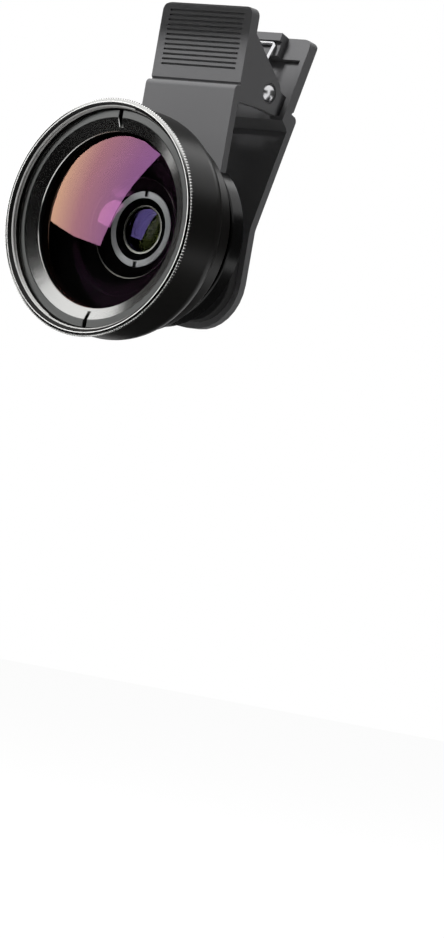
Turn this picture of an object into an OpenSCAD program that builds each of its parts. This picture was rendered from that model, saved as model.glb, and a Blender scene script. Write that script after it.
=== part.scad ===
// Clip-on phone lens: a wide-angle unit screwed on a macro unit, held by a spring clip.
// The optical axis is Y and the subject is towards -Y. The origin is on that axis, in the
// plane where the clip's front half rests on the phone. +Z runs up the clip's two levers.

/* [Wide-angle unit] */
// Diameter of the filter thread's bore, which all the unit's radii follow
filter_d = 49; // [46:0.5:52]
// Width of the knurled front rim round that bore
rim_w = 1.7; // [1.4:0.1:2]
// Length of the knurled rim
rim_len = 0.6; // [0.5:0.1:1.2]
// Height of the bevel in front of the knurl
rim_bevel = 0.3; // [0.2:0.1:0.8]
// Depth of the knurl's teeth
knurl_depth = 0.3; // [0.1:0.05:0.4]
// Number of teeth in the knurl
knurl_count = 240; // [180:10:260]
// Wall of the straight black barrel round the filter thread
barrel_wall = 0.9; // [0.7:0.1:1.1]
// Length of the straight black barrel
barrel_len = 8.5; // [7.5:0.5:10]
// Length of the barrel's curved rear shoulder
shoulder_len = 3.9; // [3:0.1:5]
// How far in that shoulder curves
shoulder_in = 1.6; // [0.8:0.1:2.2]
// Length of the filter thread
filter_len = 1.6; // [1.5:0.1:2.4]
// Chamfer at the mouth of the filter thread
filter_chamfer = 0.7; // [0.4:0.1:0.9]
// Step in radius from the filter thread to the retaining ring's own thread
ring_step = 0.55; // [0.4:0.05:0.8]

/* [Front retaining ring] */
// Length of the slotted ring that holds the front element
ring_len = 2.7; // [2.2:0.1:3.4]
// Width of the ring from its thread in to its clear opening
ring_w = 4.55; // [4:0.05:5.2]
// Width of the ring's cone, inside its flat face
ring_cone_w = 2.8; // [1.6:0.1:3.3]
// Depth of the ring's cone
ring_cone = 1.4; // [0.6:0.1:1.9]
// Width of the two spanner slots
ring_slot_w = 1.0; // [0.6:0.1:1.4]
// Depth of the two spanner slots
ring_slot_depth = 1.2; // [0.5:0.1:1.6]
// Length of each slot inwards from the ring's edge
ring_slot_len = 3.6; // [2:0.1:4.2]

/* [Front element] */
// Step in radius from the ring's thread to the front element
glass_step = 2.15; // [1.8:0.05:2.6]
// Radius of its convex front surface
glass_front_r = 100; // [80:5:160]
// Radius of its hollow rear surface
glass_rear_r = 22; // [18:0.5:30]
// Thickness at its centre
glass_centre = 2.0; // [1.4:0.1:3]
// Length of its ground edge
glass_edge = 4.7; // [4.2:0.1:5.2]

/* [Macro unit] */
// Diameter of the macro unit at the joint with the wide-angle unit
macro_d = 46.0; // [44:0.2:47]
// Diameter of the macro unit at its rear edge
macro_rear_d = 44.6; // [42:0.2:46]
// Length of the macro unit's outer band
macro_len = 5.3; // [4:0.1:7]
// Diameter of the neck behind that band
neck_d = 36; // [33:0.5:38]
// Length of the neck
neck_len = 3.8; // [2.5:0.1:5]
// Diameter of the thread that carries the wide-angle unit
front_thread_d = 34; // [32:0.5:36]
// Length of that thread
front_thread_len = 2.8; // [2.4:0.1:3.2]
// Diameter of the thread that screws into the clip
clip_thread_d = 30; // [28:0.5:31]
// Diameter of the bore that holds the macro optics
optic_d = 17; // [15:0.2:20]
// Diameter of the opening behind the macro optics
rear_open_d = 14; // [12:0.5:15]
// Diameter of the recess in front of the macro optics
mouth_d = 22.2; // [20.5:0.1:25]
// Depth of that recess
mouth_depth = 1.9; // [1:0.1:2.6]
// Thickness of the seat behind the macro optics
optic_seat = 4.3; // [3:0.1:5]

/* [Macro optics] */
// Thickness of the rear lens at its middle, up to the spacer's seat
rear_lens_t = 2; // [1.8:0.1:3.2]
// Length of the ring that holds the macro optics
macro_ring_len = 1.3; // [0.8:0.1:1.8]
// Diameter of that ring's opening
macro_open_d = 9.8; // [8:0.2:12]
// Width of that ring's flat face, outside its cone
macro_face_w = 1.5; // [0.8:0.1:2]
// Thickness of the front lens at its edge
macro_edge = 1.5; // [1.3:0.1:2.4]
// Radius of the front lens's front surface
macro_front_r = 36; // [28:1:60]
// Radius of the front lens's rear surface
macro_back_r = 60; // [40:2:90]
// Length of the conical spacer between the two lenses
spacer_len = 1.6; // [1.2:0.1:3]
// Diameter of the spacer's rear opening
spacer_open_d = 9.2; // [8:0.2:12]
// Radius of the rear lens's front surface
rear_lens_r = 25; // [20:1:40]

/* [Clip ring] */
// Width of the metal ring that carries the lens, from its thread out
clip_ring_w = 4.9; // [4.6:0.1:5.4]
// Length of the metal ring
clip_ring_len = 3.8; // [3.6:0.1:4.6]
// Thickness of its front flange
flange = 0.9; // [0.7:0.1:1.3]
// Wall of its inner sleeve and of its outer skirt
ring_wall = 0.9; // [0.7:0.05:1.1]
// Height of the soft seat pad above the metal ring
pad_proud = 0.6; // [0.3:0.1:1]

/* [Levers] */
// Width of both levers
lever_w = 25.6; // [23:0.2:27]
// Thickness of the levers' grips
grip_t = 2.7; // [2:0.1:3.4]
// Wall of the levers below the grips
wall = 1.9; // [1.5:0.1:2.4]
// Height of the front grip's top edge above the pin
front_top = 17.2; // [15:0.2:19]
// Distance of the front grip's face from the pin
front_reach = 10.6; // [9.8:0.1:11.4]
// Step from the front grip out to the lower face
front_step = 1.5; // [0.8:0.1:1.8]
// Height of the back grip's top edge above the pin
back_top = 17.1; // [15:0.1:19]
// Distance of the back grip's face from the pin
back_reach = 9.8; // [9:0.1:10.6]
// Step from the back grip out to the lower face
back_step = 1.9; // [1.2:0.1:2.2]
// Thickness of the front lever's cheeks
cheek_t = 1.9; // [1.4:0.1:2.4]
// Radius of the front lever's cheeks round the pin
cheek_r = 3.9; // [3.6:0.1:4.6]
// Thickness of the back lever's ears
ear_t = 1.7; // [1.2:0.1:2.2]
// Radius of the back lever's ears round the pin
ear_r = 3.5; // [3.2:0.1:4]
// Radius of the levers' top corners
corner_r = 2.0; // [1:0.1:3]

/* [Grip grooves] */
// Number of grooves in each grip
groove_count = 12; // [6:1:13]
// Distance from one groove to the next
groove_pitch = 1.1; // [0.9:0.05:1.15]
// Width of a groove
groove_w = 0.45; // [0.3:0.05:0.6]
// Depth of a groove
groove_depth = 0.5; // [0.2:0.05:0.7]
// Distance of the grooves' ends from the lever's sides
groove_margin = 2.1; // [1.5:0.1:4]
// Distance of the first groove from the top edge
groove_top = 1.8; // [1.5:0.1:2.2]

/* [Jaw] */
// Thickness of phone that the clip holds as drawn
phone_t = 7.8; // [7:0.1:8.6]
// Thickness of the soft pad on the jaw
pad_t = 2.2; // [1.6:0.1:2.6]
// Height of the jaw's bend above the optical axis
knee_z = 5; // [3:0.5:7]
// Distance of the jaw's lower end below the optical axis
jaw_drop = 18.3; // [17.8:0.1:18.8]
// Radius of the jaw's lower corners
jaw_r = 11; // [6:0.5:12]
// Outer radius of the bend above the jaw
knee_r = 4; // [3:0.5:6]
// Border of the jaw round its pad
pad_border = 1.3; // [1:0.1:1.6]

/* [Pin and spring] */
// Distance of the pin behind the seat plane
pin_y = 8.6; // [8:0.1:9.2]
// Height of the pin above the optical axis
pin_z = 35.1; // [33:0.1:38]
// Diameter of the pin
pin_d = 3.0; // [2.4:0.1:3.2]
// Diameter of the pin's heads
pin_head_d = 4.1; // [3.8:0.1:5]
// Depth of the recess that each head sits in
head_recess = 0.5; // [0.3:0.1:0.8]
// Height of the pin's domed heads
pin_head = 1.2; // [0.9:0.1:1.5]
// Diameter of the spring wire
wire_d = 0.9; // [0.6:0.05:1]
// Radius of the coils' centre line
coil_r = 2.3; // [2.2:0.05:2.5]
// Full turns in each of the two coils
coil_turns = 3; // [2:1:3]
// Pitch of the coils
coil_pitch = 1.1; // [1:0.05:1.15]
// Height of the back grip's hook for the spring
hook_h = 5.2; // [4.6:0.1:5.8]
// Depth of the hook's block
hook_depth = 1.7; // [1.2:0.1:2]
// How far the hook's lip stands out past its block
hook_lip = 0.9; // [0.6:0.1:1.2]
// Thickness of the hook's lip
lip_t = 1.9; // [1.5:0.1:2.2]

/* [Clearances] */
// Radial clearance of a turning or screwed fit
fit = 0.05; // [0.02:0.01:0.1]
// Clearance between faces that move past each other
run = 0.3; // [0.2:0.05:0.4]

/* [Hidden] */
turn_fn = 96;
eps = 0.01;

// Stations along the optical axis, in mm in front of the seat plane
ring_back = pad_proud;
ring_front = ring_back + clip_ring_len;
plate_front = ring_front - flange;
plate_back = plate_front - wall;
neck_back = ring_front + fit;
band_back = neck_back + neck_len;
band_front = band_back + macro_len;
wide_back = band_front + fit;
shoulder_front = wide_back + shoulder_len;
rim_back = shoulder_front + barrel_len;
bevel_back = rim_back + rim_len;
lens_front = bevel_back + rim_bevel;
spanner_face = lens_front - filter_chamfer - filter_len;
glass_rim = spanner_face - ring_len;
glass_seat = glass_rim - glass_edge;
thread_front = band_front + front_thread_len;

// Radii of the fits between pieces
filter_r = filter_d / 2;
rim_r = filter_r + rim_w;
barrel_r = filter_r + barrel_wall;
barrel_rear_r = barrel_r - shoulder_in;
ring_r = filter_r - ring_step;
ring_open_r = ring_r - ring_w;
ring_crease_r = ring_open_r + ring_cone_w;
glass_r = ring_r - glass_step;
front_thread_r = front_thread_d / 2;
clip_thread_r = clip_thread_d / 2;
optic_r = optic_d / 2;
sleeve_r = clip_thread_r + fit + ring_wall;
clip_ring_r = clip_thread_r + clip_ring_w;
skirt_r = clip_ring_r - ring_wall;
pin_r = pin_d / 2;
bore_r = pin_r + fit;

// Where the macro optics lie
optic_back = ring_back + run + optic_seat;
spacer_back = optic_back + rear_lens_t;
spacer_front = spacer_back + spacer_len;
macro_rim = spacer_front + macro_edge;
optic_front = macro_rim + macro_ring_len;
mouth_front = optic_front + mouth_depth;

// Both levers' faces, measured from the pin
half_w = lever_w / 2;
cheek_in = half_w - cheek_t;
ear_out = cheek_in - run;
ear_in = ear_out - ear_t;
front_face = -front_reach;
low_face = -plate_front - pin_y;
low_back = -plate_back - pin_y;
back_face = back_reach;
back_inner = back_reach - grip_t;
back_low = back_reach + back_step;
back_low_inner = back_low - wall;
cheek_low = -3.9;
hook_low = back_top - hook_h;

// The jaw's inner face stands a pad behind the phone, and the back lever leans to reach it
knee_y = phone_t + pad_t;
knee_from_pin = [knee_y - pin_y, pin_z - knee_z];
lean = atan2(knee_from_pin[1], knee_from_pin[0]) - acos(back_low_inner / norm(knee_from_pin));

// Height lost by a spherical surface at a distance from its axis
function sag(surface_r, r) = surface_r - sqrt(surface_r * surface_r - r * r);

// Outline of a spherical surface that falls away from its vertex, from one radius to another
function dome(surface_r, from, to, vertex, steps) =
    [for (i = [0:steps]) let(r = from + (to - from) * i / steps) [r, vertex - sag(surface_r, r)]];

// Outline of a spherical surface that rises from its vertex, from one radius to another
function bowl(surface_r, from, to, vertex, steps) =
    [for (i = [0:steps]) let(r = from + (to - from) * i / steps) [r, vertex + sag(surface_r, r)]];

// Points of an arc about a centre, from one angle to another
function arc(centre, r, from, to, steps) =
    [for (i = [0:steps]) let(a = from + (to - from) * i / steps) centre + r * [cos(a), sin(a)]];

// Turns an outline of [radius, distance in front of the seat plane] about the optical axis
module turned(outline) {
    rotate([90, 0, 0]) rotate_extrude($fn = turn_fn) polygon(outline);
}

// A solid disc between two stations on the optical axis
module disc(r, back, front) {
    translate([0, -back, 0]) rotate([90, 0, 0]) cylinder(h = front - back, r = r, $fn = turn_fn);
}

// Extrudes a side view of [distance behind, height above] along X, centred
module across(w) {
    rotate([90, 0, 90]) translate([0, 0, -w / 2]) linear_extrude(height = w) children();
}

// Places the back lever's own frame, with the pin at its origin, on the closed phone
module leaning() {
    translate([0, pin_y, pin_z]) rotate([-lean, 0, 0]) children();
}

// Two slots on a ring's front face for a spanner
module spanner_slots(outer_r, len, w, depth, front) {
    for (side = [0, 180])
        rotate([0, side, 0])
            translate([-w / 2, -front - eps, outer_r - len]) cube([w, depth + eps, len + 1]);
}

// The grooves that the finger grips, cut into a face that looks towards -Y
module grip_grooves(top) {
    half = half_w - groove_margin - groove_w / 2;
    for (i = [0:groove_count - 1])
        translate([0, groove_depth, top - groove_top - i * groove_pitch])
            rotate([90, 0, 0]) linear_extrude(height = groove_depth + 1) {
                square([2 * half, groove_w], center = true);
                for (x = [-half, half]) translate([x, 0]) circle(d = groove_w, $fn = 16);
            }
}

// One ring of teeth round the rim, as a toothed disc to intersect with it
module knurl_disc() {
    root_r = rim_r - knurl_depth;
    translate([0, -rim_back + 1, 0]) rotate([90, 0, 0])
        linear_extrude(height = rim_len + rim_bevel + 2)
            polygon([for (i = [0:2 * knurl_count - 1])
                let(a = i * 180 / knurl_count, r = i % 2 == 0 ? rim_r : root_r)
                [r * cos(a), r * sin(a)]]);
}

// Barrel of the wide-angle unit, with its knurled rim and filter thread
module wide_barrel() {
    shoulder = [for (i = [0:8]) let(a = i * 90 / 8)
        [barrel_rear_r + shoulder_in * sin(a),
         shoulder_front - shoulder_len * cos(a)]];
    over = knurl_depth;
    bevel_slope = rim_bevel / (rim_w - filter_chamfer);
    color("#26241f") turned(concat(
        [[front_thread_r + fit, wide_back]], shoulder,
        [[barrel_r, rim_back + eps], [filter_r, rim_back + eps], [filter_r, spanner_face],
         [ring_r + fit, spanner_face], [ring_r + fit, glass_rim], [glass_r + fit, glass_rim],
         [glass_r + fit, glass_seat], [front_thread_r - 1.5, glass_seat],
         [front_thread_r - 1.5, thread_front + fit], [front_thread_r + fit, thread_front + fit]]));
    color("#d8d8d6") intersection() {
        turned([[filter_r, rim_back], [rim_r + over, rim_back],
            [rim_r + over, bevel_back - over * bevel_slope],
            [filter_r + filter_chamfer, lens_front],
            [filter_r, max(rim_back + 0.1, lens_front - filter_chamfer)]]);
        knurl_disc();
    }
}

// Slotted ring that holds the front element
module front_ring() {
    color("#b9bab8") difference() {
        turned([[ring_open_r, glass_rim], [ring_r, glass_rim], [ring_r, spanner_face],
            [ring_crease_r, spanner_face], [ring_open_r, spanner_face - ring_cone]]);
        spanner_slots(ring_r, ring_slot_len, ring_slot_w, ring_slot_depth, spanner_face);
    }
}

// Negative meniscus lens, hollow towards the phone
module front_element() {
    front = glass_rim + sag(glass_front_r, ring_open_r) - 2 * fit;
    rear = front - glass_centre;
    hollow = rear - glass_seat - fit;
    hollow_r = sqrt(2 * glass_rear_r * hollow - hollow * hollow);
    color("#6a5a78") turned(concat(
        dome(glass_front_r, 0, glass_r, front, 10),
        [[glass_r, glass_seat + fit]],
        dome(glass_rear_r, hollow_r, 0, rear, 10)));
}

// Barrel of the macro unit, threaded at both ends
module macro_barrel() {
    back = ring_back + run;
    color("#1d1d1d") turned([[clip_thread_r, back], [clip_thread_r, neck_back],
        [neck_d / 2, neck_back], [neck_d / 2, band_back], [macro_rear_d / 2 - 0.4, band_back],
        [macro_rear_d / 2, band_back + 0.4], [macro_d / 2, band_front - 0.3],
        [macro_d / 2 - 0.3, band_front], [front_thread_r, band_front],
        [front_thread_r, thread_front], [front_thread_r - 1.3, thread_front],
        [front_thread_r - 1.3, mouth_front], [mouth_d / 2, mouth_front],
        [mouth_d / 2, optic_front], [optic_r, optic_front], [optic_r, optic_back],
        [rear_open_d / 2, optic_back], [clip_thread_r - 2.6, back]]);
}

// Slotted ring that holds the macro optics
module macro_ring() {
    outer_r = optic_r - fit;
    color("#8d8f90") difference() {
        turned([[macro_open_d / 2, macro_rim], [outer_r, macro_rim], [outer_r, optic_front],
            [outer_r - macro_face_w, optic_front], [macro_open_d / 2, macro_rim + 0.3]]);
        spanner_slots(outer_r, 1.2, 0.8, 0.5, optic_front);
    }
}

// Front lens of the macro optics, round on both sides
module macro_front_lens() {
    front = macro_rim + sag(macro_front_r, macro_open_d / 2) - fit;
    back = spacer_front - sag(macro_back_r, optic_r - 1) + fit;
    color("#55506a") turned(concat(
        dome(macro_front_r, 0, optic_r - fit, front, 8),
        bowl(macro_back_r, optic_r - fit, 0, back, 8)));
}

// Conical spacer between the two macro lenses
module macro_spacer() {
    outer_r = optic_r - fit;
    color("#161616") turned([[spacer_open_d / 2, spacer_back], [outer_r, spacer_back],
        [outer_r, spacer_front], [outer_r - 0.95, spacer_front],
        [spacer_open_d / 2, spacer_back + 0.6]]);
}

// Rear lens of the macro optics, flat towards the phone
module macro_rear_lens() {
    vertex = spacer_back + sag(rear_lens_r, spacer_open_d / 2) - fit;
    color("#55506a") turned(concat(
        dome(rear_lens_r, 0, optic_r - fit, vertex, 8),
        [[optic_r - fit, optic_back + fit], [0, optic_back + fit]]));
}

// Threaded metal ring round the front lever's eye
module clip_ring() {
    color("#1b1b1c") difference() {
        turned([[sleeve_r - ring_wall, ring_back], [sleeve_r, ring_back],
            [sleeve_r, plate_front], [skirt_r, plate_front], [skirt_r, ring_back],
            [clip_ring_r, ring_back], [clip_ring_r, ring_front - 0.3],
            [clip_ring_r - 0.3, ring_front], [sleeve_r - ring_wall + 0.2, ring_front],
            [sleeve_r - ring_wall, ring_front - 0.2]]);
        translate([-half_w - fit, -plate_front, skirt_r / 2])
            cube([lever_w + 2 * fit, plate_front, clip_ring_r]);
    }
}

// Soft ring that rests on the phone
module seat_pad() {
    color("#242424") turned([[sleeve_r + fit, 0], [skirt_r - fit, 0],
        [skirt_r - fit, plate_back], [sleeve_r + fit, plate_back]]);
}

// Side view of a lever's grip and shoulder, with the pin at the origin and the grip's face
// on the left: an open outline from the outer lower face over the top to the inner one
function lever_side(top, face, inner, low, low_inner) =
    let(shoulder_r = 1.2, edge = 0.5)
    let(notch = 0.35)
    concat(arc([low + shoulder_r, -0.4 - shoulder_r], shoulder_r, 180, 90, 6),
        [[face + notch, -0.4], [face + notch, notch - 0.4], [face, 2 * notch - 0.4],
         [face, top - edge], [face + edge, top], [inner, top],
         [inner, cheek_low + 0.9], [low_inner + 0.6, cheek_low], [low_inner, cheek_low - 0.6]]);

// Rounds a lever's two top corners, in a front view with the pin at the origin
module top_outline(top) {
    polygon(concat([[-half_w, -2 * pin_z], [half_w, -2 * pin_z]],
        arc([half_w - corner_r, top - corner_r], corner_r, 0, 90, 6),
        arc([corner_r - half_w, top - corner_r], corner_r, 90, 180, 6)));
}

// Front lever: grip, two cheeks round the pin and an eye inside the metal ring
module front_lever() {
    inner = front_face + grip_t;
    color("#5b5b5b") difference() {
        union() {
            disc(skirt_r - fit, plate_back, plate_front);
            translate([0, pin_y, pin_z]) {
                intersection() {
                    across(lever_w) polygon(concat([[low_face, -pin_z]],
                        lever_side(front_top, front_face, inner, low_face, low_back),
                        [[low_back, -pin_z]]));
                    translate([0, pin_z, 0]) rotate([90, 0, 0])
                        linear_extrude(height = 2 * pin_z) top_outline(front_top);
                }
                for (x = [-1, 1]) translate([x * (half_w - cheek_t / 2), 0, 0])
                    across(cheek_t) hull() {
                        circle(r = cheek_r, $fn = 48);
                        translate([inner - 0.4, cheek_low])
                            square([0.4, front_top * 0.68 - cheek_low]);
                        translate([low_back, cheek_low]) square([0.4, 2]);
                    }
            }
        }
        disc(sleeve_r + fit, plate_back - 1, plate_front + 1);
        translate([0, pin_y, pin_z]) rotate([0, 90, 0])
            cylinder(h = lever_w + 2, r = bore_r, center = true, $fn = 48);
        for (side = [0, 180])
            translate([0, pin_y, pin_z]) rotate([0, 90 + side, 0])
                translate([0, 0, half_w - head_recess])
                    cylinder(h = 2, r = pin_head_d / 2 + run, $fn = 48);
        translate([0, pin_y + front_face, pin_z]) grip_grooves(front_top);
    }
}

// Outline of the jaw's lower end in a front view
function jaw_end(border) =
    let(half = half_w - border, low = -jaw_drop + border, r = jaw_r - border)
    concat(arc([-half + r, low + r], r, 180, 270, 8), arc([half - r, low + r], r, 270, 360, 8));

// A point of the back lever's own frame, in the side view of the whole part
function leaning_point(p) =
    [pin_y + p[0] * cos(lean) + p[1] * sin(lean), pin_z - p[0] * sin(lean) + p[1] * cos(lean)];

// Side view of the whole back lever, with its bend above the jaw as two arcs
function back_side() =
    let(inner_r = knee_r + wall,
        centre = [knee_y + inner_r, knee_z - inner_r * tan(lean / 2)],
        upper = lever_side(back_top, -back_face, -back_inner, -back_low, -back_low_inner))
    concat(arc(centre, knee_r, 180, 180 - lean, 4),
        [for (p = upper) leaning_point([-p[0], p[1]])],
        arc(centre, inner_r, 180 - lean, 180, 4),
        [[knee_y, -jaw_drop], [knee_y + wall, -jaw_drop]]);

// Back lever: grip with the spring's hook, two ears round the pin and the jaw
module back_lever() {
    top_z = leaning_point([back_inner, back_top])[1];
    hook_half = loop_half + 1.5 * wire_d;
    pocket_half = half_w - 1.3;
    color("#4f4f4f") {
        difference() {
            intersection() {
                across(lever_w) polygon(back_side());
                translate([0, pin_z, 0]) rotate([90, 0, 0]) linear_extrude(height = 2 * pin_z)
                    polygon(concat(jaw_end(0),
                        arc([half_w - corner_r, top_z - corner_r], corner_r, 0, 90, 6),
                        arc([corner_r - half_w, top_z - corner_r], corner_r, 90, 180, 6)));
            }
            leaning() {
                translate([-pocket_half, back_inner - eps, -2])
                    cube([2 * pocket_half, 1, hook_low + 2 - 2 * eps]);
                rotate([0, 0, 180]) translate([0, -back_face, 0]) grip_grooves(back_top);
            }
        }
        leaning() {
            translate([-hook_half, back_inner - hook_depth, hook_low])
                cube([2 * hook_half, hook_depth + 0.2, hook_h - lip_t]);
            translate([-hook_half, back_inner - hook_depth - hook_lip, back_top - lip_t])
                cube([2 * hook_half, hook_depth + hook_lip + 0.2, lip_t - eps]);
            for (x = [-1, 1]) translate([x * (ear_out - ear_t / 2), 0, 0])
                difference() {
                    across(ear_t) hull() {
                        circle(r = ear_r, $fn = 48);
                        translate([back_inner + 0.8, -1.9]) square([0.5, 5]);
                    }
                    rotate([0, 90, 0])
                        cylinder(h = ear_t + 2, r = bore_r, center = true, $fn = 48);
                }
        }
    }
}

// Soft pad on the jaw
module back_pad() {
    pad_top = knee_z - 2;
    color("#242424") translate([0, knee_y, 0]) rotate([90, 0, 0])
        linear_extrude(height = knee_y - phone_t) polygon(concat(jaw_end(pad_border),
            [[half_w - pad_border, pad_top], [pad_border - half_w, pad_top]]));
}

// Steel pin with a domed head at each end
module pivot_pin() {
    head_r = pin_head_d / 2;
    dome_r = (head_r * head_r + pin_head * pin_head) / (2 * pin_head);
    seat = half_w - head_recess;
    top = dome(dome_r, 0, head_r, seat + pin_head, 6);
    color("#c9c9c9") translate([0, pin_y, pin_z]) rotate([0, 90, 0])
        rotate_extrude($fn = 48) polygon(concat(top, [[pin_r, seat], [pin_r, -seat]],
            [for (i = [6:-1:0]) [top[i][0], -top[i][1]]]));
}

// Half of the spring's centre line, from the middle of its loop out to a front leg's end
hook_y = back_inner - hook_depth - wire_d / 2 - fit;
hook_z = back_top - lip_t - 0.6;
hook_at = [hook_y * cos(lean) + hook_z * sin(lean), hook_z * cos(lean) - hook_y * sin(lean)];
leg_end = [front_face + grip_t + wire_d / 2 + fit / 2, front_top * 0.52];
back_angle = atan2(hook_at[1], hook_at[0]) - acos(coil_r / norm(hook_at));
front_angle = atan2(leg_end[1], leg_end[0]) + acos(coil_r / norm(leg_end));
leg = coil_r * [cos(back_angle), sin(back_angle)] - hook_at;
leg_way = leg / norm(leg);
coil_sweep = back_angle + 360 - front_angle + 360 * coil_turns;
coil_steps = ceil(coil_sweep / 24);
coil_len = coil_pitch * coil_sweep / 360;
loop_half = ear_in - wire_d / 2 - fit - coil_len;
half_path = concat(
    [for (x = [0.9, loop_half - 0.8]) [x, hook_at[0], hook_at[1]]],
    [for (a = [30, 60]) let(p = hook_at + 0.8 * (1 - cos(a)) * leg_way)
        [loop_half - 0.8 + 0.8 * sin(a), p[0], p[1]]],
    [for (i = [0:coil_steps]) let(a = back_angle - coil_sweep * i / coil_steps)
        [loop_half + coil_len * i / coil_steps,
         coil_r * cos(a), coil_r * sin(a)]],
    [[loop_half + coil_len, leg_end[0], leg_end[1]]]);
wire_path = concat(
    [for (i = [len(half_path) - 1:-1:0]) [-half_path[i][0], half_path[i][1], half_path[i][2]]],
    half_path);

// A round wire along a path, as rings of points that stand square to it
module wire(path, d, sides) {
    n = len(path);
    function way(i) = path[min(i + 1, n - 1)] - path[max(i - 1, 0)];
    function across_way(i) = let(c = cross(way(i), [0.3, 0.2, 1])) c / norm(c);
    rings = [for (i = [0:n - 1])
        let(u = across_way(i), w = cross(way(i), u), v = w / norm(w))
        for (k = [0:sides - 1]) let(a = 360 * k / sides)
        path[i] + d / 2 * (cos(a) * u + sin(a) * v)];
    skin = [for (i = [0:n - 2], k = [0:sides - 1]) let(k2 = (k + 1) % sides)
        [i * sides + k, (i + 1) * sides + k, (i + 1) * sides + k2, i * sides + k2]];
    polyhedron(rings, concat(skin, [[for (k = [0:sides - 1]) k]],
        [[for (k = [sides - 1:-1:0]) (n - 1) * sides + k]]), 4);
}

// Double torsion spring: a loop on the back lever, two coils and two front legs
module torsion_spring() {
    color("#c4c6c8") translate([0, pin_y, pin_z]) wire(wire_path, wire_d, 8);
}

wide_barrel();
front_ring();
front_element();
macro_barrel();
macro_ring();
macro_front_lens();
macro_spacer();
macro_rear_lens();
clip_ring();
seat_pad();
front_lever();
back_lever();
back_pad();
pivot_pin();
torsion_spring();
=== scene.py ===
import math

import bmesh
import bpy
from mathutils import Matrix, Vector


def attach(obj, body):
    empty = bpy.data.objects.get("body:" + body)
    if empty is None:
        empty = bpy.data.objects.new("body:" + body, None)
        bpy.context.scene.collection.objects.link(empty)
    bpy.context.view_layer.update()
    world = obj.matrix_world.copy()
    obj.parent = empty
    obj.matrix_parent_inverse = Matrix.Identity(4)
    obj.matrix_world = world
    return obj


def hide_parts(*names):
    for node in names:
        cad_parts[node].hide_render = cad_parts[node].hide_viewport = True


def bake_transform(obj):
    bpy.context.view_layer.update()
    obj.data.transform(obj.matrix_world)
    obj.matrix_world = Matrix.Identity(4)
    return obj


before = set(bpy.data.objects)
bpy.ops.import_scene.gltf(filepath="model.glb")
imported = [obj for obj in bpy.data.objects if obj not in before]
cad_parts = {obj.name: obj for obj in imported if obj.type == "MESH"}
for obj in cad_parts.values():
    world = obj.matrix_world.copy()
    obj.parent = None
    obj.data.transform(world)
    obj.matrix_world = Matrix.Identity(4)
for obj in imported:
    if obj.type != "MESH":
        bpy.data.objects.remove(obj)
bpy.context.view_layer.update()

MM = 0.001

# Camera: seen from the front and from the right of the lens, a little below its axis, through a
# long lens. The lens sits in the upper half of the frame, with empty space below it.
image_width, image_height = 444, 938
focus_distance = 1.0
pixels_per_metre = 4536
azimuth, elevation, roll = math.radians(39.06), math.radians(-2.02), math.radians(9.86)
axis_in_image = (173.7, 238.4)

toward_camera = Vector((math.sin(azimuth) * math.cos(elevation),
                        -math.cos(azimuth) * math.cos(elevation), math.sin(elevation)))
level_right = (-toward_camera).cross(Vector((0, 0, 1))).normalized()
level_up = level_right.cross(-toward_camera)
camera_right = math.cos(roll) * level_right + math.sin(roll) * level_up
camera_up = math.cos(roll) * level_up - math.sin(roll) * level_right
aim_right = (image_width / 2 - axis_in_image[0]) / pixels_per_metre
aim_up = (axis_in_image[1] - image_height / 2) / pixels_per_metre
camera_data = bpy.data.cameras.new("camera")
camera = bpy.data.objects.new("camera", camera_data)
bpy.context.scene.collection.objects.link(camera)
camera.matrix_world = Matrix.Translation(
    toward_camera * focus_distance + camera_right * aim_right + camera_up * aim_up) @ Matrix(
    (camera_right, camera_up, toward_camera)).transposed().to_4x4()
camera_data.sensor_width = 36
camera_data.lens = pixels_per_metre * focus_distance * camera_data.sensor_width / image_height
camera_data.clip_start, camera_data.clip_end = 0.05, 20
bpy.context.scene.camera = camera
bpy.context.scene.view_settings.view_transform = "Standard"


# Floor and lamps: a white room with a soft key lamp high in front and a weak lamp on the right.
# The floor glows white towards the camera and keeps the shadow. Only gloss sees the cards: bright
# ones give the highlights, and dark ones keep black metal and clear glass black.
def linear(code):
    """An sRGB hex colour as linear red, green, blue and alpha."""
    parts = [int(code[i:i + 2], 16) / 255 for i in (1, 3, 5)]
    return [c / 12.92 if c <= 0.04045 else ((c + 0.055) / 1.055) ** 2.4 for c in parts] + [1.0]


def add(tree, kind, inputs=None, **settings):
    """Adds a node, sets its properties, and sets or links its inputs."""
    made = tree.nodes.new(kind)
    for key, value in settings.items():
        setattr(made, key, value)
    for key, value in (inputs or {}).items():
        if isinstance(value, bpy.types.NodeSocket):
            tree.links.new(value, made.inputs[key])
        else:
            made.inputs[key].default_value = value
    return made


def light_room(tree, output, glow, plain):
    """Shows glow to the camera, to gloss and to glass, and plain to everything else."""
    path = add(tree, "ShaderNodeLightPath")
    seen = add(tree, "ShaderNodeMath", {0: path.outputs["Is Camera Ray"],
                                        1: path.outputs["Is Glossy Ray"]}, operation="MAXIMUM")
    seen = add(tree, "ShaderNodeMath", {0: seen.outputs[0], 1: path.outputs["Is Transmission Ray"]},
               operation="MAXIMUM")
    mixed = add(tree, "ShaderNodeMixShader", {0: seen.outputs[0], 1: plain, 2: glow})
    tree.links.new(mixed.outputs[0], output.inputs["Surface"])


world = bpy.data.worlds.new("white_room")
bpy.context.scene.world = world
world.use_nodes = True
tree = world.node_tree
tree.nodes.clear()
soft_grey = add(tree, "ShaderNodeBackground", {"Color": linear("#ffffff"), "Strength": 0.11})
pure_white = add(tree, "ShaderNodeBackground", {"Color": linear("#ffffff"), "Strength": 1.0})
light_room(tree, add(tree, "ShaderNodeOutputWorld"), pure_white.outputs[0], soft_grey.outputs[0])

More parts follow.
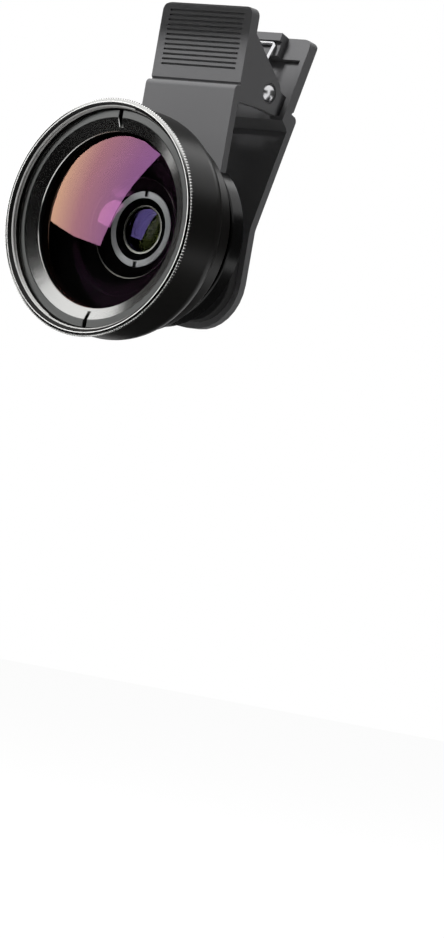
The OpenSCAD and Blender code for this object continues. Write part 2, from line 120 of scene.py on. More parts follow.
floor_z = -0.155
floor_half = 3.0
floor_mesh = bpy.data.meshes.new("floor")
floor_mesh.from_pydata([(x * floor_half, y * floor_half, floor_z) for x, y in
                        ((-1, -1), (1, -1), (1, 1), (-1, 1))], [], [(0, 1, 2, 3)])
floor = bpy.data.objects.new("floor", floor_mesh)
bpy.context.scene.collection.objects.link(floor)
pale = bpy.data.materials.new("pale_floor")
pale.use_nodes = True
tree = pale.node_tree
tree.nodes.clear()
paint = add(tree, "ShaderNodeBsdfDiffuse", {"Color": linear("#a8a8a8")})
glow = add(tree, "ShaderNodeEmission", {"Color": linear("#ffffff"), "Strength": 0.96})
shaded = add(tree, "ShaderNodeBsdfDiffuse", {"Color": linear("#505050")})
lit = add(tree, "ShaderNodeAddShader", {0: glow.outputs[0], 1: shaded.outputs[0]})
light_room(tree, add(tree, "ShaderNodeOutputMaterial"), lit.outputs[0], paint.outputs[0])
floor_mesh.materials.append(pale)

for name, where, size, power in (("key_lamp", (-0.3, -0.55, 0.85), 0.35, 17.5),
                                 ("side_lamp", (0.9, 0.25, 0.1), 0.3, 1.8)):
    lamp_data = bpy.data.lights.new(name, "AREA")
    lamp_data.size = size
    lamp_data.energy = power
    lamp = bpy.data.objects.new(name, lamp_data)
    bpy.context.scene.collection.objects.link(lamp)
    lamp.location = where
    lamp.rotation_euler = (-Vector(where)).to_track_quat("-Z", "Y").to_euler()
    lamp.visible_glossy = False


def sky_point(side, height, distance):
    """A point in the room, by its bearing from -Y towards +X and its height, in degrees."""
    a, e = math.radians(side), math.radians(height)
    return Vector((math.sin(a) * math.cos(e), -math.cos(a) * math.cos(e), math.sin(e))) * distance


def card(name, corners, distance, strength):
    """A flat card that only gloss sees, by the bearings and heights of its corners."""
    # A corner that would lie below the floor is drawn in along its own line from the lens.
    lowest = floor_z + 2 * MM
    points = [sky_point(side, height, distance) for side, height in corners]
    points = [point * (lowest / point.z) if point.z < lowest else point for point in points]
    made = bpy.data.meshes.new(name)
    made.from_pydata(points, [], [tuple(range(len(corners)))])
    board = bpy.data.objects.new(name, made)
    bpy.context.scene.collection.objects.link(board)
    surface = bpy.data.materials.new(name)
    surface.use_nodes = True
    tree = surface.node_tree
    tree.nodes.clear()
    # Only the first mirror image of a card shines: a second one would show between glass and ring.
    bounces = add(tree, "ShaderNodeLightPath").outputs["Glossy Depth"]
    first = add(tree, "ShaderNodeMath", {0: bounces, 1: 1.5}, operation="LESS_THAN")
    power = add(tree, "ShaderNodeMath", {0: first.outputs[0], 1: strength}, operation="MULTIPLY")
    shine = add(tree, "ShaderNodeEmission", {"Color": linear("#ffffff"), "Strength": power.outputs[0]})
    end = add(tree, "ShaderNodeOutputMaterial")
    tree.links.new(shine.outputs[0], end.inputs["Surface"])
    made.materials.append(surface)
    board.visible_camera = board.visible_diffuse = board.visible_shadow = False
    board.visible_transmission = False


card("softbox", [(-62, 4), (-61, 10.5), (-57.5, 16), (-52.5, 20), (-45.5, 23), (-36, 23), (-28.5, 21),
                 (-35, 10.5), (-40, -1), (-50, 0.8)], 0.7, 2.2)
for name, (left, right), (low, high), distance, strength in (
        ("front_dark_card", (-45, 55), (-7, 25), 1.35, 0.0),
        ("left_dark_card", (-112, -45), (-7, 25), 1.35, 0.0),
        ("right_dark_card", (55, 80), (-7, 25), 1.35, 0.0),
        ("rear_softbox", (172, 215), (27, 48), 1.0, 2.2),
        ("rear_dark_card", (112, 172), (-8, 24), 1.2, 0.03),
        ("far_dark_card", (172, 240), (-8, 24), 1.2, 0.03)):
    card(name, [(left, low), (left, high), (right, high), (right, low)], distance, strength)
card("front_floor_card", [(-85, -24), (-75, -7), (-45, -6), (10, -7), (45, -14), (50, -24)], 1.45, 0.0)
card("rear_floor_card", [(110, -8), (100, -35), (-100, -35), (-110, -8)], 1.09, 0.03)

# A board that nothing sees keeps the key lamp out of the space between the levers.
shade_y, shade_left, shade_right, shade_low, shade_high = -8, -25, 15, 52.5, 72
shade_mesh = bpy.data.meshes.new("shade_card")
shade_mesh.from_pydata([(x * MM, shade_y * MM, z * MM) for x, z in (
    (shade_left, shade_low), (shade_right, shade_low),
    (shade_right, shade_high), (shade_left, shade_high))], [], [(0, 1, 2, 3)])
shade_card = bpy.data.objects.new("shade_card", shade_mesh)
bpy.context.scene.collection.objects.link(shade_card)
shade_card.visible_camera = shade_card.visible_diffuse = shade_card.visible_glossy = False
shade_card.visible_transmission = False


# Black barrel of the wide-angle unit: turned aluminium, satin and anodised black. A bright ring
# is cut at its mouth, and behind it the barrel curves in to meet the macro unit.
def new_material(name, base, metallic, roughness, **constants):
    """A material with one Principled shader, whose constants sit on its own sockets."""
    made = bpy.data.materials.new(name)
    made.use_nodes = True
    shader = made.node_tree.nodes["Principled BSDF"]
    shader.inputs["Base Color"].default_value = linear(base)
    shader.inputs["Metallic"].default_value = metallic
    shader.inputs["Roughness"].default_value = roughness
    for key, value in constants.items():
        shader.inputs[key.replace("_", " ")].default_value = value
    return made, made.node_tree, shader


def turning_marks(tree, shader, spacing, strength, depth):
    """Fine rings left by the lathe, spacing metres apart, as a bump."""
    point = add(tree, "ShaderNodeTexCoord").outputs["Object"]
    parts = add(tree, "ShaderNodeSeparateXYZ", {0: point})
    flat = add(tree, "ShaderNodeCombineXYZ", {0: parts.outputs["X"], 1: parts.outputs["Z"]})
    radius = add(tree, "ShaderNodeVectorMath", {0: flat.outputs[0]}, operation="LENGTH")
    along = add(tree, "ShaderNodeMath", {0: radius.outputs["Value"], 1: parts.outputs["Y"]},
                operation="ADD")
    rings = add(tree, "ShaderNodeTexNoise", {"W": along.outputs[0], "Scale": 1 / spacing,
                                             "Detail": 2.0, "Roughness": 0.6}, noise_dimensions="1D")
    bump = add(tree, "ShaderNodeBump", {"Height": rings.outputs[0], "Strength": strength,
                                        "Distance": depth})
    tree.links.new(bump.outputs[0], shader.inputs["Normal"])


def round_grooves(tree, shader):
    """Turns the gloss across the lathe's round grooves, which stretch each highlight outward."""
    round_axis = add(tree, "ShaderNodeTangent", direction_type="RADIAL", axis="Y")
    tree.links.new(round_axis.outputs[0], shader.inputs["Tangent"])
    shader.inputs["Anisotropic Rotation"].default_value = 0.25


def moulded_grain(tree, shader, spacing, roughness, strength):
    """The fine grain of a spark-eroded mould, spacing metres apart, as a bump."""
    point = add(tree, "ShaderNodeTexCoord").outputs["Object"]
    grain = add(tree, "ShaderNodeTexNoise", {"Vector": point, "Scale": 1 / spacing, "Detail": 3.0,
                                             "Roughness": roughness})
    bump = add(tree, "ShaderNodeBump", {"Height": grain.outputs[0], "Strength": strength,
                                        "Distance": 0.03 * MM})
    tree.links.new(bump.outputs[0], shader.inputs["Normal"])


def rounded(outline, steps=4):
    """An outline with its corners rounded: each point may give its rounding as a third number."""
    made = []
    count = len(outline)
    for i, point in enumerate(outline):
        here = Vector(point[:2])
        reach = point[2] if len(point) > 2 else 0
        if not reach:
            made.append(tuple(here))
            continue
        before = (Vector(outline[i - 1][:2]) - here).normalized() * reach + here
        after = (Vector(outline[(i + 1) % count][:2]) - here).normalized() * reach + here
        for k in range(steps + 1):
            t = k / steps
            made.append(tuple((1 - t) ** 2 * before + 2 * t * (1 - t) * here + t * t * after))
    return made


def tidy_mesh(bm, name, sharp=35):
    """Turns a bmesh into a smooth-shaded mesh with outward faces."""
    bmesh.ops.recalc_face_normals(bm, faces=bm.faces)
    made = bpy.data.meshes.new(name)
    bm.to_mesh(made)
    bm.free()
    made.shade_smooth()
    made.set_sharp_from_angle(angle=math.radians(sharp))
    return made


def turned(name, outline, steps=192, sharp=35):
    """A mesh turned about the optical axis, from (radius, distance in front of the seat) in mm."""
    points = rounded(outline)
    is_open = points[0][0] == 0 and points[-1][0] == 0
    bm = bmesh.new()
    rings = []
    for radius, front in points:
        if radius == 0:
            rings.append([bm.verts.new((0, -front * MM, 0))] * steps)
        else:
            rings.append([bm.verts.new((radius * MM * math.cos(2 * math.pi * k / steps), -front * MM,
                                        radius * MM * math.sin(2 * math.pi * k / steps)))
                          for k in range(steps)])
    pairs = list(zip(rings, rings[1:])) + ([] if is_open else [(rings[-1], rings[0])])
    for one, two in pairs:
        for k in range(steps):
            corners = [one[k], one[(k + 1) % steps], two[(k + 1) % steps], two[k]]
            unique = [v for i, v in enumerate(corners) if v is not corners[i - 1]]
            bm.faces.new(unique)
    return tidy_mesh(bm, name, sharp)


def soften(node, name, width, angle=30, segments=2, sharp=40):
    """A copy of a CAD node's mesh, joined up, with its edges slightly rounded."""
    weld_distance, flat_within = 2e-6, math.radians(0.6)
    bm = bmesh.new()
    bm.from_mesh(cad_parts[node].data)
    bmesh.ops.remove_doubles(bm, verts=bm.verts, dist=weld_distance)
    bmesh.ops.dissolve_limit(bm, angle_limit=flat_within, verts=bm.verts, edges=bm.edges)
    mesh = bpy.data.meshes.new(name)
    bm.to_mesh(mesh)
    bm.free()
    mesh.materials.clear()
    holder = bpy.data.objects.new(name, mesh)
    bpy.context.scene.collection.objects.link(holder)
    edge = holder.modifiers.new("rounded_edges", "BEVEL")
    edge.width = width * MM
    edge.segments = segments
    edge.limit_method = "ANGLE"
    edge.angle_limit = math.radians(angle)
    bpy.context.view_layer.update()
    seen = holder.evaluated_get(bpy.context.evaluated_depsgraph_get())
    made = bpy.data.meshes.new_from_object(seen)
    made.name = name
    made.shade_smooth()
    made.set_sharp_from_angle(angle=math.radians(sharp))
    bpy.data.objects.remove(holder)
    return made


def place(name, mesh, material, body, stands_for=()):
    """Puts a finished mesh in the scene, on its body and in its material slot."""
    piece = bpy.data.objects.new(name, mesh)
    bpy.context.scene.collection.objects.link(piece)
    if not mesh.materials:
        mesh.materials.append(material)
    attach(piece, body)
    if stands_for:
        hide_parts(*stands_for)
    keep_flat = piece.modifiers.new("flat_faces_stay_flat", "WEIGHTED_NORMAL")
    keep_flat.keep_sharp = True
    return piece


# Sizes here and below are in mm: radii from the optical axis, and distances in front of the seat.
filter_r, rim_r, barrel_r = 24.5, 26.2, 25.4
barrel_rear_r, wide_back, shoulder_front = 23.8, 13.6, 17.5
rim_back, bevel_back, lens_front = 26.0, 26.6, 26.9
spanner_face, glass_rim, glass_seat = 24.6, 21.9, 17.2
front_thread_r, thread_front = 17.0, 16.35
ring_r, glass_r, filter_chamfer = 23.95, 21.8, 0.7
knurl_depth, knurl_count = 0.3, 240
root_r, mouth_edge_r = rim_r - knurl_depth, filter_r + filter_chamfer
view_r = front_thread_r - 1.5
mouth_drop, fit = 0.02, 0.05

anodised, tree, shader = new_material("black_anodised_aluminium", "#131211", 0.0, 0.32,
                                      Specular_IOR_Level=0.22)
turning_marks(tree, shader, 0.22 * MM, 0.25, 0.01 * MM)
shoulder_steps = 12
quarter_turn = [i * math.pi / (2 * shoulder_steps) for i in range(shoulder_steps)]
shoulder = [(barrel_rear_r + (barrel_r - barrel_rear_r) * math.sin(a),
             shoulder_front - (shoulder_front - wide_back) * math.cos(a)) for a in quarter_turn]
barrel_outline = [(front_thread_r + fit, wide_back, 0.2), *shoulder,
                  (barrel_r, rim_back), (root_r, rim_back, 0.05), (root_r, bevel_back),
                  (mouth_edge_r, bevel_back), (mouth_edge_r, lens_front - mouth_drop),
                  (filter_r, lens_front - filter_chamfer),
                  (filter_r, spanner_face), (ring_r + fit, spanner_face), (ring_r + fit, glass_rim),
                  (glass_r + fit, glass_rim), (glass_r + fit, glass_seat),
                  (view_r, glass_seat, 0.3), (view_r, thread_front + fit),
                  (front_thread_r + fit, thread_front + fit)]
optical_black = new_material("optical_black_paint", "#060606", 0.0, 0.7, Specular_IOR_Level=0.1)[0]


def blacken(mesh, largest_radius, rear_end=0.0):
    """Gives a barrel its black finish, and flat black paint on the faces inside a radius."""
    mesh.materials.append(anodised)
    mesh.materials.append(optical_black)
    for face in mesh.polygons:
        radius = math.hypot(face.center.x, face.center.z) / MM
        if radius < largest_radius and -face.center.y / MM > rear_end:
            face.material_index = 1
    return mesh


wide_shell = blacken(turned("wide_barrel_shell", barrel_outline), glass_r, thread_front)
place("wide_barrel_shell", wide_shell, anodised, "wide_unit", ["wide_barrel"])

# Bright rim: the same barrel, cut bare at its mouth with a diamond tool. The straight knurl behind
# it has 240 teeth whose crests are cut bright, while the gaps between them stay black.
bright, tree, shader = new_material("diamond_cut_aluminium", "#dededc", 1.0, 0.22)
turning_marks(tree, shader, 0.3 * MM, 0.15, 0.01 * MM)
rim_lift, below_crests, mouth_flat = 0.01, 0.22, 0.25
rim_outline = [(mouth_edge_r, bevel_back + rim_lift), (root_r + 0.05, bevel_back + rim_lift, 0.04),
               (rim_r - below_crests, bevel_back + 0.04, 0.04),
               (mouth_edge_r + mouth_flat, lens_front, 0.12), (mouth_edge_r, lens_front - mouth_drop)]
place("bright_rim", turned("bright_rim", rim_outline, 240), bright, "wide_unit")


def grown(name, tree, values):
    """The mesh that a Geometry Nodes tree makes, with its named inputs set."""
    holder = bpy.data.objects.new(name, bpy.data.meshes.new(name))
    bpy.context.scene.collection.objects.link(holder)
    modifier = holder.modifiers.new("grow", "NODES")
    modifier.node_group = tree
    for item in tree.interface.items_tree:
        if item.item_type == "SOCKET" and item.in_out == "INPUT" and item.name in values:
            modifier[item.identifier] = values[item.name]
    bpy.context.view_layer.update()
    seen = holder.evaluated_get(bpy.context.evaluated_depsgraph_get())
    made = bpy.data.meshes.new_from_object(seen)
    made.name = name
    bpy.data.objects.remove(holder)
    return made


def grow_tree(name, inputs):
    """An empty Geometry Nodes tree with named inputs and one geometry output."""
    tree = bpy.data.node_groups.new(name, "GeometryNodeTree")
    for key, kind in inputs.items():
        tree.interface.new_socket(key, in_out="INPUT", socket_type=kind)
    tree.interface.new_socket("Geometry", in_out="OUTPUT", socket_type="NodeSocketGeometry")
    return tree, add(tree, "NodeGroupInput"), add(tree, "NodeGroupOutput")


# A tooth is drawn at three stations from front to back: place along the lens, width, and drop of
# its crest. Its foot is sunk a little way in the barrel, and its crest is narrower than its foot.
tooth_half = rim_r * math.sin(math.pi / knurl_count)
tooth_foot, crest_share = root_r - 0.05, 0.4
stations = [(bevel_back + 0.06, 0.95, 0.03), (rim_back + 0.3, 0.65, 0.0), (rim_back + 0.02, 0.2, 0.05)]
tooth_points = [(side * tooth_half * width * MM, -front * MM, height * MM)
                for front, width, drop in stations
                for side, height in ((-1, tooth_foot), (-crest_share, rim_r - drop),
                                     (crest_share, rim_r - drop), (1, tooth_foot))]
tooth_faces = [(4 * i + a, 4 * i + b, 4 * i + 4 + b, 4 * i + 4 + a) for i in range(2)
               for a, b in ((0, 1), (1, 2), (2, 3), (3, 0))]
tooth = bpy.data.meshes.new("knurl_tooth")
tooth.from_pydata(tooth_points, [], tooth_faces + [(3, 2, 1, 0), (8, 9, 10, 11)])
tree, given, result = grow_tree("knurl", {"Count": "NodeSocketInt", "Tooth": "NodeSocketObject",
                                          "Finish": "NodeSocketMaterial"})
spots = add(tree, "GeometryNodeMeshLine", {"Count": given.outputs["Count"], "Offset": (0, 0, 0)})
index = add(tree, "GeometryNodeInputIndex")
share = add(tree, "ShaderNodeMath", {0: index.outputs[0], 1: given.outputs["Count"]},
            operation="DIVIDE")
turn = add(tree, "ShaderNodeMath", {0: share.outputs[0], 1: 2 * math.pi}, operation="MULTIPLY")
turn_y = add(tree, "ShaderNodeCombineXYZ", {1: turn.outputs[0]})
tooth_in = add(tree, "GeometryNodeObjectInfo", {"Object": given.outputs["Tooth"]})
around = add(tree, "GeometryNodeInstanceOnPoints", {"Points": spots.outputs[0],
             "Instance": tooth_in.outputs["Geometry"], "Rotation": turn_y.outputs[0]})
real = add(tree, "GeometryNodeRealizeInstances", {0: around.outputs[0]})
painted = add(tree, "GeometryNodeSetMaterial", {"Geometry": real.outputs[0],
                                                "Material": given.outputs["Finish"]})
tree.links.new(painted.outputs[0], result.inputs[0])
tooth_object = bpy.data.objects.new("knurl_tooth", tooth)
bpy.context.scene.collection.objects.link(tooth_object)
knurl = grown("rim_knurl", tree, {"Count": knurl_count, "Tooth": tooth_object, "Finish": bright})
bpy.data.objects.remove(tooth_object)
place("rim_knurl", knurl, bright, "wide_unit")

# Threads: the filter thread inside the rim, and the male threads of the macro unit. Each is one
# cut helix. The filter thread's ridge is painted pale all over, which draws light lines along it; the
# others are black.
tree, given, result = grow_tree("screw_thread", {
    "Turns": "NodeSocketFloat", "Root": "NodeSocketFloat", "Height": "NodeSocketFloat",
    "Length": "NodeSocketFloat", "Start": "NodeSocketFloat", "Finish": "NodeSocketMaterial"})
helix = add(tree, "GeometryNodeCurveSpiral", {"Resolution": 96, "Rotations": given.outputs["Turns"],
            "Start Radius": given.outputs["Root"], "End Radius": given.outputs["Root"],
            "Height": given.outputs["Length"]})
ridge = add(tree, "GeometryNodeCurvePrimitiveCircle", {
    "Resolution": 4, "Radius": given.outputs["Height"]}, mode="RADIUS")
swept = add(tree, "GeometryNodeCurveToMesh", {"Curve": helix.outputs[0],
                                              "Profile Curve": ridge.outputs[0], "Fill Caps": True})
start = add(tree, "ShaderNodeCombineXYZ", {1: given.outputs["Start"]})
thread_turn = 2.0
stood = add(tree, "GeometryNodeTransform", {
    "Geometry": swept.outputs[0], "Translation": start.outputs[0],
    "Rotation": (math.pi / 2, thread_turn, 0)})
painted = add(tree, "GeometryNodeSetMaterial", {"Geometry": stood.outputs[0],
                                                "Material": given.outputs["Finish"]})
tree.links.new(painted.outputs[0], result.inputs[0])
thread_tree = tree
# The filter thread's ridge is painted pale all over; the other threads keep the black finish.
pale_thread_ridge = new_material("pale_filter_thread_ridge", "#c8c8c6", 0.2, 0.4)[0]
pitch, ridge_height, ridge_depth, clip_thread_r = 0.75, 0.36, 0.33, 15.0
wide_thread_back, clip_thread_back, clip_thread_front = 14.1, 1.4, 4.0
for name, radius, back, front, finish, body, slot in (
        ("filter_thread", filter_r + fit, spanner_face + 0.45, lens_front - 0.75, pale_thread_ridge,
         "wide_unit", "wide_barrel"),
        ("wide_thread", front_thread_r - ridge_depth, wide_thread_back, thread_front - 0.4, anodised,
         "macro_unit", "macro_barrel"),
        ("clip_thread", clip_thread_r - ridge_depth, clip_thread_back, clip_thread_front, anodised,
         "macro_unit", "macro_barrel")):
    length = front - back
    mesh = grown(name, thread_tree, {
        "Turns": length / pitch, "Root": radius * MM, "Height": ridge_height * MM,
        "Length": length * MM, "Start": -back * MM, "Finish": finish})
    place(name, mesh, finish, body)

# Retaining ring: aluminium, turned, clear anodised to a satin silver, with a flat face, a cone
# that leads in to the glass, and two slots for a spanner.
satin, tree, shader = new_material("satin_anodised_aluminium", "#6c6d6c", 1.0, 0.3, Anisotropic=0.7)
round_grooves(tree, shader)
turning_marks(tree, shader, 0.25 * MM, 0.2, 0.01 * MM)
# The cone is the same satin aluminium as the flat face, painted much lighter than it: a painted
# highlight.
cone_painted_highlight, tree, shader = new_material("ring_cone_painted_highlight", "#dcdcda", 1.0, 0.24, Anisotropic=0.5)
round_grooves(tree, shader)


def paint_ring(mesh, outer, *inner):
    """Paints a ring's faces by how far out they reach: each inner finish inside its own radius."""
    mesh.materials.append(outer)
    for finish, limit in inner:
        mesh.materials.append(finish)
    for face in mesh.polygons:
        reach = max(math.hypot(*mesh.vertices[v].co.xz) for v in face.vertices) / MM
        face.material_index = sum(reach < limit for finish, limit in inner)
    return mesh


ring_open_r, ring_crease_r = 19.4, 22.2
retaining_ring = paint_ring(soften("front_ring", "retaining_ring", 0.12, 20, 1, 12), satin,
                            (cone_painted_highlight, ring_crease_r + 0.1), (optical_black, ring_open_r + 0.05))
place("retaining_ring", retaining_ring, satin, "wide_unit", ["front_ring"])

# Front element: polished glass, hollow behind. Its coating sends back a part of the light, from
# peach where it is seen aslant to violet where it is seen straight on.
coated, tree, shader = new_material("coated_front_glass", "#9a5f8f", 1.0, 0.015)
facing = add(tree, "ShaderNodeLayerWeight", {"Blend": 0.5})
tint = add(tree, "ShaderNodeValToRGB", {0: facing.outputs["Facing"]})
stops = tint.color_ramp.elements
stops[0].position, stops[0].color = 0.15, linear("#8c5ea2")
stops[1].position, stops[1].color = 0.37, linear("#dcab90")
middle = stops.new(0.235)
middle.color = linear("#9a6692")
late = stops.new(0.31)
late.color = linear("#b47d88")
tree.links.new(tint.outputs[0], shader.inputs["Base Color"])
shader.inputs["Alpha"].default_value = 0.36
inner_coat, tree, shader = new_material("coated_rear_glass", "#d987c9", 1.0, 0.02)
point = add(tree, "ShaderNodeTexCoord").outputs["Object"]
parts = add(tree, "ShaderNodeSeparateXYZ", {0: point})
flat = add(tree, "ShaderNodeCombineXYZ", {0: parts.outputs["X"], 1: parts.outputs["Z"]})
from_axis = add(tree, "ShaderNodeVectorMath", {0: flat.outputs[0]}, operation="LENGTH")
fading = add(tree, "ShaderNodeMapRange", {"Value": from_axis.outputs["Value"], "From Min": 6 * MM,
                                          "From Max": 8 * MM, "To Min": 0.3, "To Max": 0.01})
tree.links.new(fading.outputs[0], shader.inputs["Alpha"])


def sag(surface_r, radius):
    """Height lost by a spherical surface at a distance from its axis."""
    return surface_r - math.sqrt(surface_r ** 2 - radius ** 2)


def curve_out(edge_r, centre, surface_r, steps):
    """A spherical surface's outline, from its centre out to its edge. The edge lies further back
    than the centre, or further in front where the radius is negative."""
    radii = [edge_r * i / steps for i in range(steps + 1)]
    return [(radius, centre - math.copysign(sag(abs(surface_r), radius), surface_r))
            for radius in radii]


def lens(name, front_surface, rear_surface, edge, coats, steps=160):
    """A turned lens from its surfaces' outlines and a point on its edge, with a coating on each."""
    made = turned(name, front_surface + [edge] + rear_surface[::-1], steps, sharp=20)
    for coat in coats:
        made.materials.append(coat)
    for face in made.polygons:
        in_front = face.normal.y < -0.2 and -face.center.y > edge[1] * MM
        face.material_index = 0 if in_front else 1
    return made


glass_front_r, glass_rear_r, glass_centre = 100.0, 22.0, 2.0
front = glass_rim + sag(glass_front_r, ring_open_r) - 2 * fit
rear = front - glass_centre
hollow = rear - glass_seat - fit
hollow_r = math.sqrt(2 * glass_rear_r * hollow - hollow * hollow)
front_lens = lens("front_lens", curve_out(glass_r, front, glass_front_r, 32),
                  curve_out(hollow_r, rear, glass_rear_r, 32), (glass_r, glass_seat + fit),
                  [coated, inner_coat])
place("front_lens", front_lens, coated, "wide_carrier", ["front_element"])

# Macro unit: a black turned barrel with an outer band, a neck, and a male thread at each end.
ring_back, neck_back, band_back, band_front = 0.6, 4.45, 8.25, 13.55
macro_r, macro_rear_r, neck_r, thread_depth = 23.0, 22.3, 18.0, 0.35
optic_r, rear_open_r, optic_back, optic_front = 8.5, 7.0, 5.2, 11.6
mouth_r, mouth_front = 11.1, 13.5
macro_back, rear_face_r, front_bore_r = ring_back + 0.3, clip_thread_r - 2.6, front_thread_r - 1.3
clip_root_r, wide_root_r = clip_thread_r - thread_depth, front_thread_r - thread_depth
macro_outline = [(clip_root_r, macro_back, 0.1), (clip_root_r, neck_back), (neck_r, neck_back, 0.2),
                 (neck_r, band_back), (macro_rear_r, band_back, 0.35), (macro_r, band_front, 0.3),
                 (wide_root_r, band_front), (wide_root_r, thread_front, 0.1),
                 (front_bore_r, thread_front, 0.3), (front_bore_r, mouth_front, 0.2),
                 (mouth_r, mouth_front, 0.15), (mouth_r, optic_front, 0.1), (optic_r, optic_front),
                 (optic_r, optic_back), (rear_open_r, optic_back), (rear_face_r, macro_back, 0.2)]
macro_shell = blacken(turned("macro_barrel_shell", macro_outline), front_thread_r - 0.4)
place("macro_barrel_shell", macro_shell, anodised, "macro_unit", ["macro_barrel"])

# Its mouth has a thin edge that the lathe cut bare after the anodising.
edge_cut = new_material("edge_cut_aluminium", "#c4c5bd", 1.0, 0.25)[0]
edge_outline = [(mouth_r - 0.02, mouth_front - 0.2), (mouth_r + 0.28, mouth_front - 0.02),
                (mouth_r + 0.2, mouth_front + 0.03), (mouth_r - 0.03, mouth_front - 0.05)]
place("mouth_edge", turned("mouth_edge", edge_outline), edge_cut, "macro_unit")

# Macro optics: two coated lenses with a flat black conical spacer between them. The ring that
# holds them is turned and anodised grey, with a flat black cone inside and a thin bright lip.
grey_ring, tree, shader = new_material("grey_anodised_aluminium", "#d9dcdd", 1.0, 0.32, Anisotropic=0.7)
round_grooves(tree, shader)
turning_marks(tree, shader, 0.3 * MM, 0.15, 0.01 * MM)
spacer_back, spacer_front, macro_rim, optics_r = 7.2, 8.8, 10.3, optic_r - fit
macro_front_r, macro_back_r, rear_lens_r, macro_open_r, spacer_open_r = 36.0, 60.0, 25.0, 4.9, 4.6
ring_face_w, front_lens_edge, rear_lens_edge = 1.5, 9.4, 5.6
optics_ring = paint_ring(soften("macro_ring", "optics_ring", 0.1), grey_ring,
                         (optical_black, optics_r - ring_face_w + 0.15))
place("optics_ring", optics_ring, grey_ring, "macro_unit", ["macro_ring"])
lip_r, lip_w = macro_open_r + 0.02, 0.5
lip_outline = [(lip_r, macro_rim + 0.1), (lip_r, macro_rim + 0.56, 0.05),
               (lip_r + lip_w, macro_rim + 0.63, 0.05), (lip_r + lip_w, macro_rim + 0.3)]
ring_lip = turned("optics_ring_lip", lip_outline, 96)
place("optics_ring_lip", ring_lip, edge_cut, "macro_unit")
place("conical_spacer", soften("macro_spacer", "conical_spacer", 0.06), optical_black, "macro_unit",
      ["macro_spacer"])
violet_coat, tree, shader = new_material("violet_coated_glass", "#8878c8", 1.0, 0.02)
shader.inputs["Alpha"].default_value = 0.3
green_coat, tree, shader = new_material("green_coated_glass", "#b8c86a", 1.0, 0.02)
shader.inputs["Alpha"].default_value = 0.06
# The rear lens's front faces are opaque and painted near-black: painted shade in place of the dark seen
# through the lens from behind.
shade_painted_glass = new_material("painted_shade_rear_glass", "#07060a", 0.0, 0.03)[0]
front = macro_rim + sag(macro_front_r, macro_open_r) - fit
rear = spacer_front - sag(macro_back_r, optic_r - 1) + fit
macro_lens = lens("macro_lens_front", curve_out(optics_r, front, macro_front_r, 20),
                  curve_out(optics_r, rear, -macro_back_r, 20), (optics_r, front_lens_edge),
                  [violet_coat, green_coat], 96)
place("macro_lens_front", macro_lens, violet_coat, "macro_unit",
      ["macro_front_lens"])
front = spacer_back + sag(rear_lens_r, spacer_open_r) - fit
rear_lens = lens("macro_lens_rear", curve_out(optics_r, front, rear_lens_r, 20),
                 [(0, optic_back + fit), (optics_r, optic_back + fit)], (optics_r, rear_lens_edge),
                 [shade_painted_glass, violet_coat], 96)
place("macro_lens_rear", rear_lens, shade_painted_glass, "macro_carrier",
      ["macro_rear_lens"])

# Clip ring: the black metal cup that the macro unit screws into, with a soft rubber ring behind.
glossy_black, tree, shader = new_material("glossy_black_anodised", "#0d0d0d", 0.0, 0.2,
                                          Specular_IOR_Level=0.3)
turning_marks(tree, shader, 0.3 * MM, 0.12, 0.01 * MM)
place("clip_ring_cup", soften("clip_ring", "clip_ring_cup", 0.15), glossy_black, "clip_front",
      ["clip_ring"])
rubber, tree, shader = new_material("moulded_rubber", "#1c1c1c", 0.0, 0.75)
moulded_grain(tree, shader, 0.4 * MM, 0.5, 0.4)
place("seat_ring", soften("seat_pad", "seat_ring", 0.2), rubber, "clip_front", ["seat_pad"])

# Levers: both halves of the clip, moulded in charcoal ABS with a fine spark-eroded grain.
abs_plastic, tree, shader = new_material("charcoal_abs", "#6c6c6d", 0.0, 0.45, Specular_IOR_Level=0.15)
moulded_grain(tree, shader, 0.35 * MM, 0.6, 0.3)
place("front_lever_half", soften("front_lever", "front_lever_half", 0.22), abs_plastic, "clip_front",
      ["front_lever"])
place("back_lever_half", soften("back_lever", "back_lever_half", 0.22), abs_plastic, "clip_back",
      ["back_lever"])
place("jaw_pad", soften("back_pad", "jaw_pad", 0.3), rubber, "clip_back", ["back_pad"])

# Pin: steel, plated and polished, with a domed head at each end.
chrome = new_material("chrome_plate", "#d8d8da", 1.0, 0.28)[0]
pin_y, pin_z, pin_r, head_r, head_seat, head_top = 8.6, 35.1, 1.5, 2.05, 12.3, 13.5
head_rise = head_top - head_seat
dome_r = (head_r ** 2 + head_rise ** 2) / (2 * head_rise)
dome_steps = 12
depths = [head_rise * i / dome_steps for i in range(dome_steps)]
dome = [(math.sqrt(dome_r ** 2 - (dome_r - depth) ** 2), head_top - depth) for depth in depths]
pin_outline = dome + [(head_r, head_seat, 0.1), (pin_r, head_seat), (pin_r, -head_seat),
                      (head_r, -head_seat, 0.1)]
pin_outline += [(radius, -x) for radius, x in reversed(dome)]
domed_pin = turned("domed_pin", pin_outline, 64)
lie_across = Matrix.Rotation(math.pi / 2, 4, "Z")
domed_pin.transform(Matrix.Translation((0, pin_y * MM, pin_z * MM)) @ lie_across)
place("domed_pin", domed_pin, chrome, "clip_front", ["pivot_pin"])

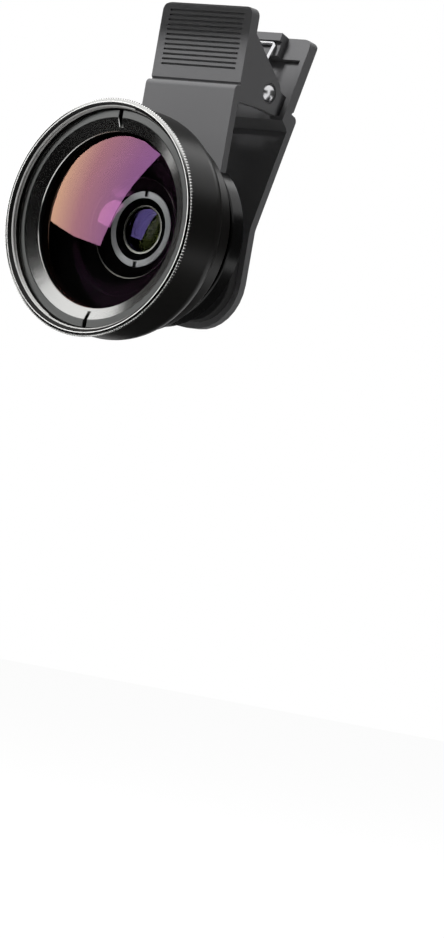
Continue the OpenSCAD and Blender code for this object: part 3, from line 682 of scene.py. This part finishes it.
# Torsion spring: one piece of bright plated wire with a loop under the back lever's hook, a coil
# of three turns on each side of the middle, and two straight legs that press on the front grip.
# It is drawn from the levers' own sizes, in mm from the pin.
wire_d, coil_r, coil_turns, coil_pitch = 0.9, 2.3, 3, 1.1
front_inner, front_top, back_inner, back_top, ear_in = -7.9, 17.2, 7.1, 17.1, 8.9
hook_depth, hook_lip_t, hook_gap, loop_bend = 1.7, 1.9, 0.6, 0.8
knee_y, knee_z, grip_t, leg_share = 10.0, 5.0, 2.7, 0.52
lean = math.atan2(pin_z - knee_z, knee_y - pin_y) - math.acos(
    (back_inner + grip_t) / math.hypot(knee_y - pin_y, pin_z - knee_z))
hook_y = back_inner - hook_depth - wire_d / 2 - fit
hook_z = back_top - hook_lip_t - hook_gap
hook_at = Vector((hook_y * math.cos(lean) + hook_z * math.sin(lean),
                  hook_z * math.cos(lean) - hook_y * math.sin(lean)))
leg_end = Vector((front_inner + wire_d / 2 + fit / 2, front_top * leg_share))
back_angle = math.atan2(hook_at.y, hook_at.x) - math.acos(coil_r / hook_at.length)
front_angle = math.atan2(leg_end.y, leg_end.x) + math.acos(coil_r / leg_end.length)
coil_sweep = back_angle - front_angle + 2 * math.pi * (coil_turns + 1)
coil_len = coil_pitch * coil_sweep / (2 * math.pi)
loop_half = ear_in - wire_d / 2 - fit - coil_len
leg_way = (coil_r * Vector((math.cos(back_angle), math.sin(back_angle))) - hook_at).normalized()
half_path = [Vector((0.0, *hook_at)), Vector((loop_half - loop_bend, *hook_at))]
bend_steps, coil_steps = 8, 160
for k in range(1, bend_steps):
    bend = k / bend_steps * math.pi / 2
    side = loop_half - loop_bend + loop_bend * math.sin(bend)
    half_path.append(Vector((side, *(hook_at + loop_bend * (1 - math.cos(bend)) * leg_way))))
for k in range(coil_steps + 1):
    turn_angle = back_angle - coil_sweep * k / coil_steps
    half_path.append(Vector((loop_half + coil_len * k / coil_steps,
                             coil_r * math.cos(turn_angle), coil_r * math.sin(turn_angle))))
half_path.append(Vector((loop_half + coil_len, *leg_end)))
wire_path = [Vector((-point.x, point.y, point.z)) for point in reversed(half_path[1:])] + half_path
wire_curve = bpy.data.curves.new("torsion_spring_wire", "CURVE")
wire_curve.dimensions = "3D"
wire_curve.bevel_depth = wire_d / 2 * MM
wire_curve.bevel_resolution = 3
wire_curve.use_fill_caps = True
spline = wire_curve.splines.new("POLY")
spline.points.add(len(wire_path) - 1)
for spot, point in zip(spline.points, wire_path):
    spot.co = (point.x * MM, (pin_y + point.y) * MM, (pin_z + point.z) * MM, 1.0)
drawn = bpy.data.objects.new("torsion_spring_wire", wire_curve)
bpy.context.scene.collection.objects.link(drawn)
bpy.context.view_layer.update()
seen = drawn.evaluated_get(bpy.context.evaluated_depsgraph_get())
wire_mesh = bpy.data.meshes.new_from_object(seen)
bpy.data.objects.remove(drawn)
bm = bmesh.new()
bm.from_mesh(wire_mesh)
spring_mesh = tidy_mesh(bm, "torsion_spring_wire", 50)
spring_wire = new_material("plated_spring_wire", "#f0f0f2", 1.0, 0.2)[0]
spring = bpy.data.objects.new("torsion_spring_wire", spring_mesh)
bpy.context.scene.collection.objects.link(spring)
spring_mesh.materials.append(spring_wire)
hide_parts("torsion_spring")
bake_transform(spring)
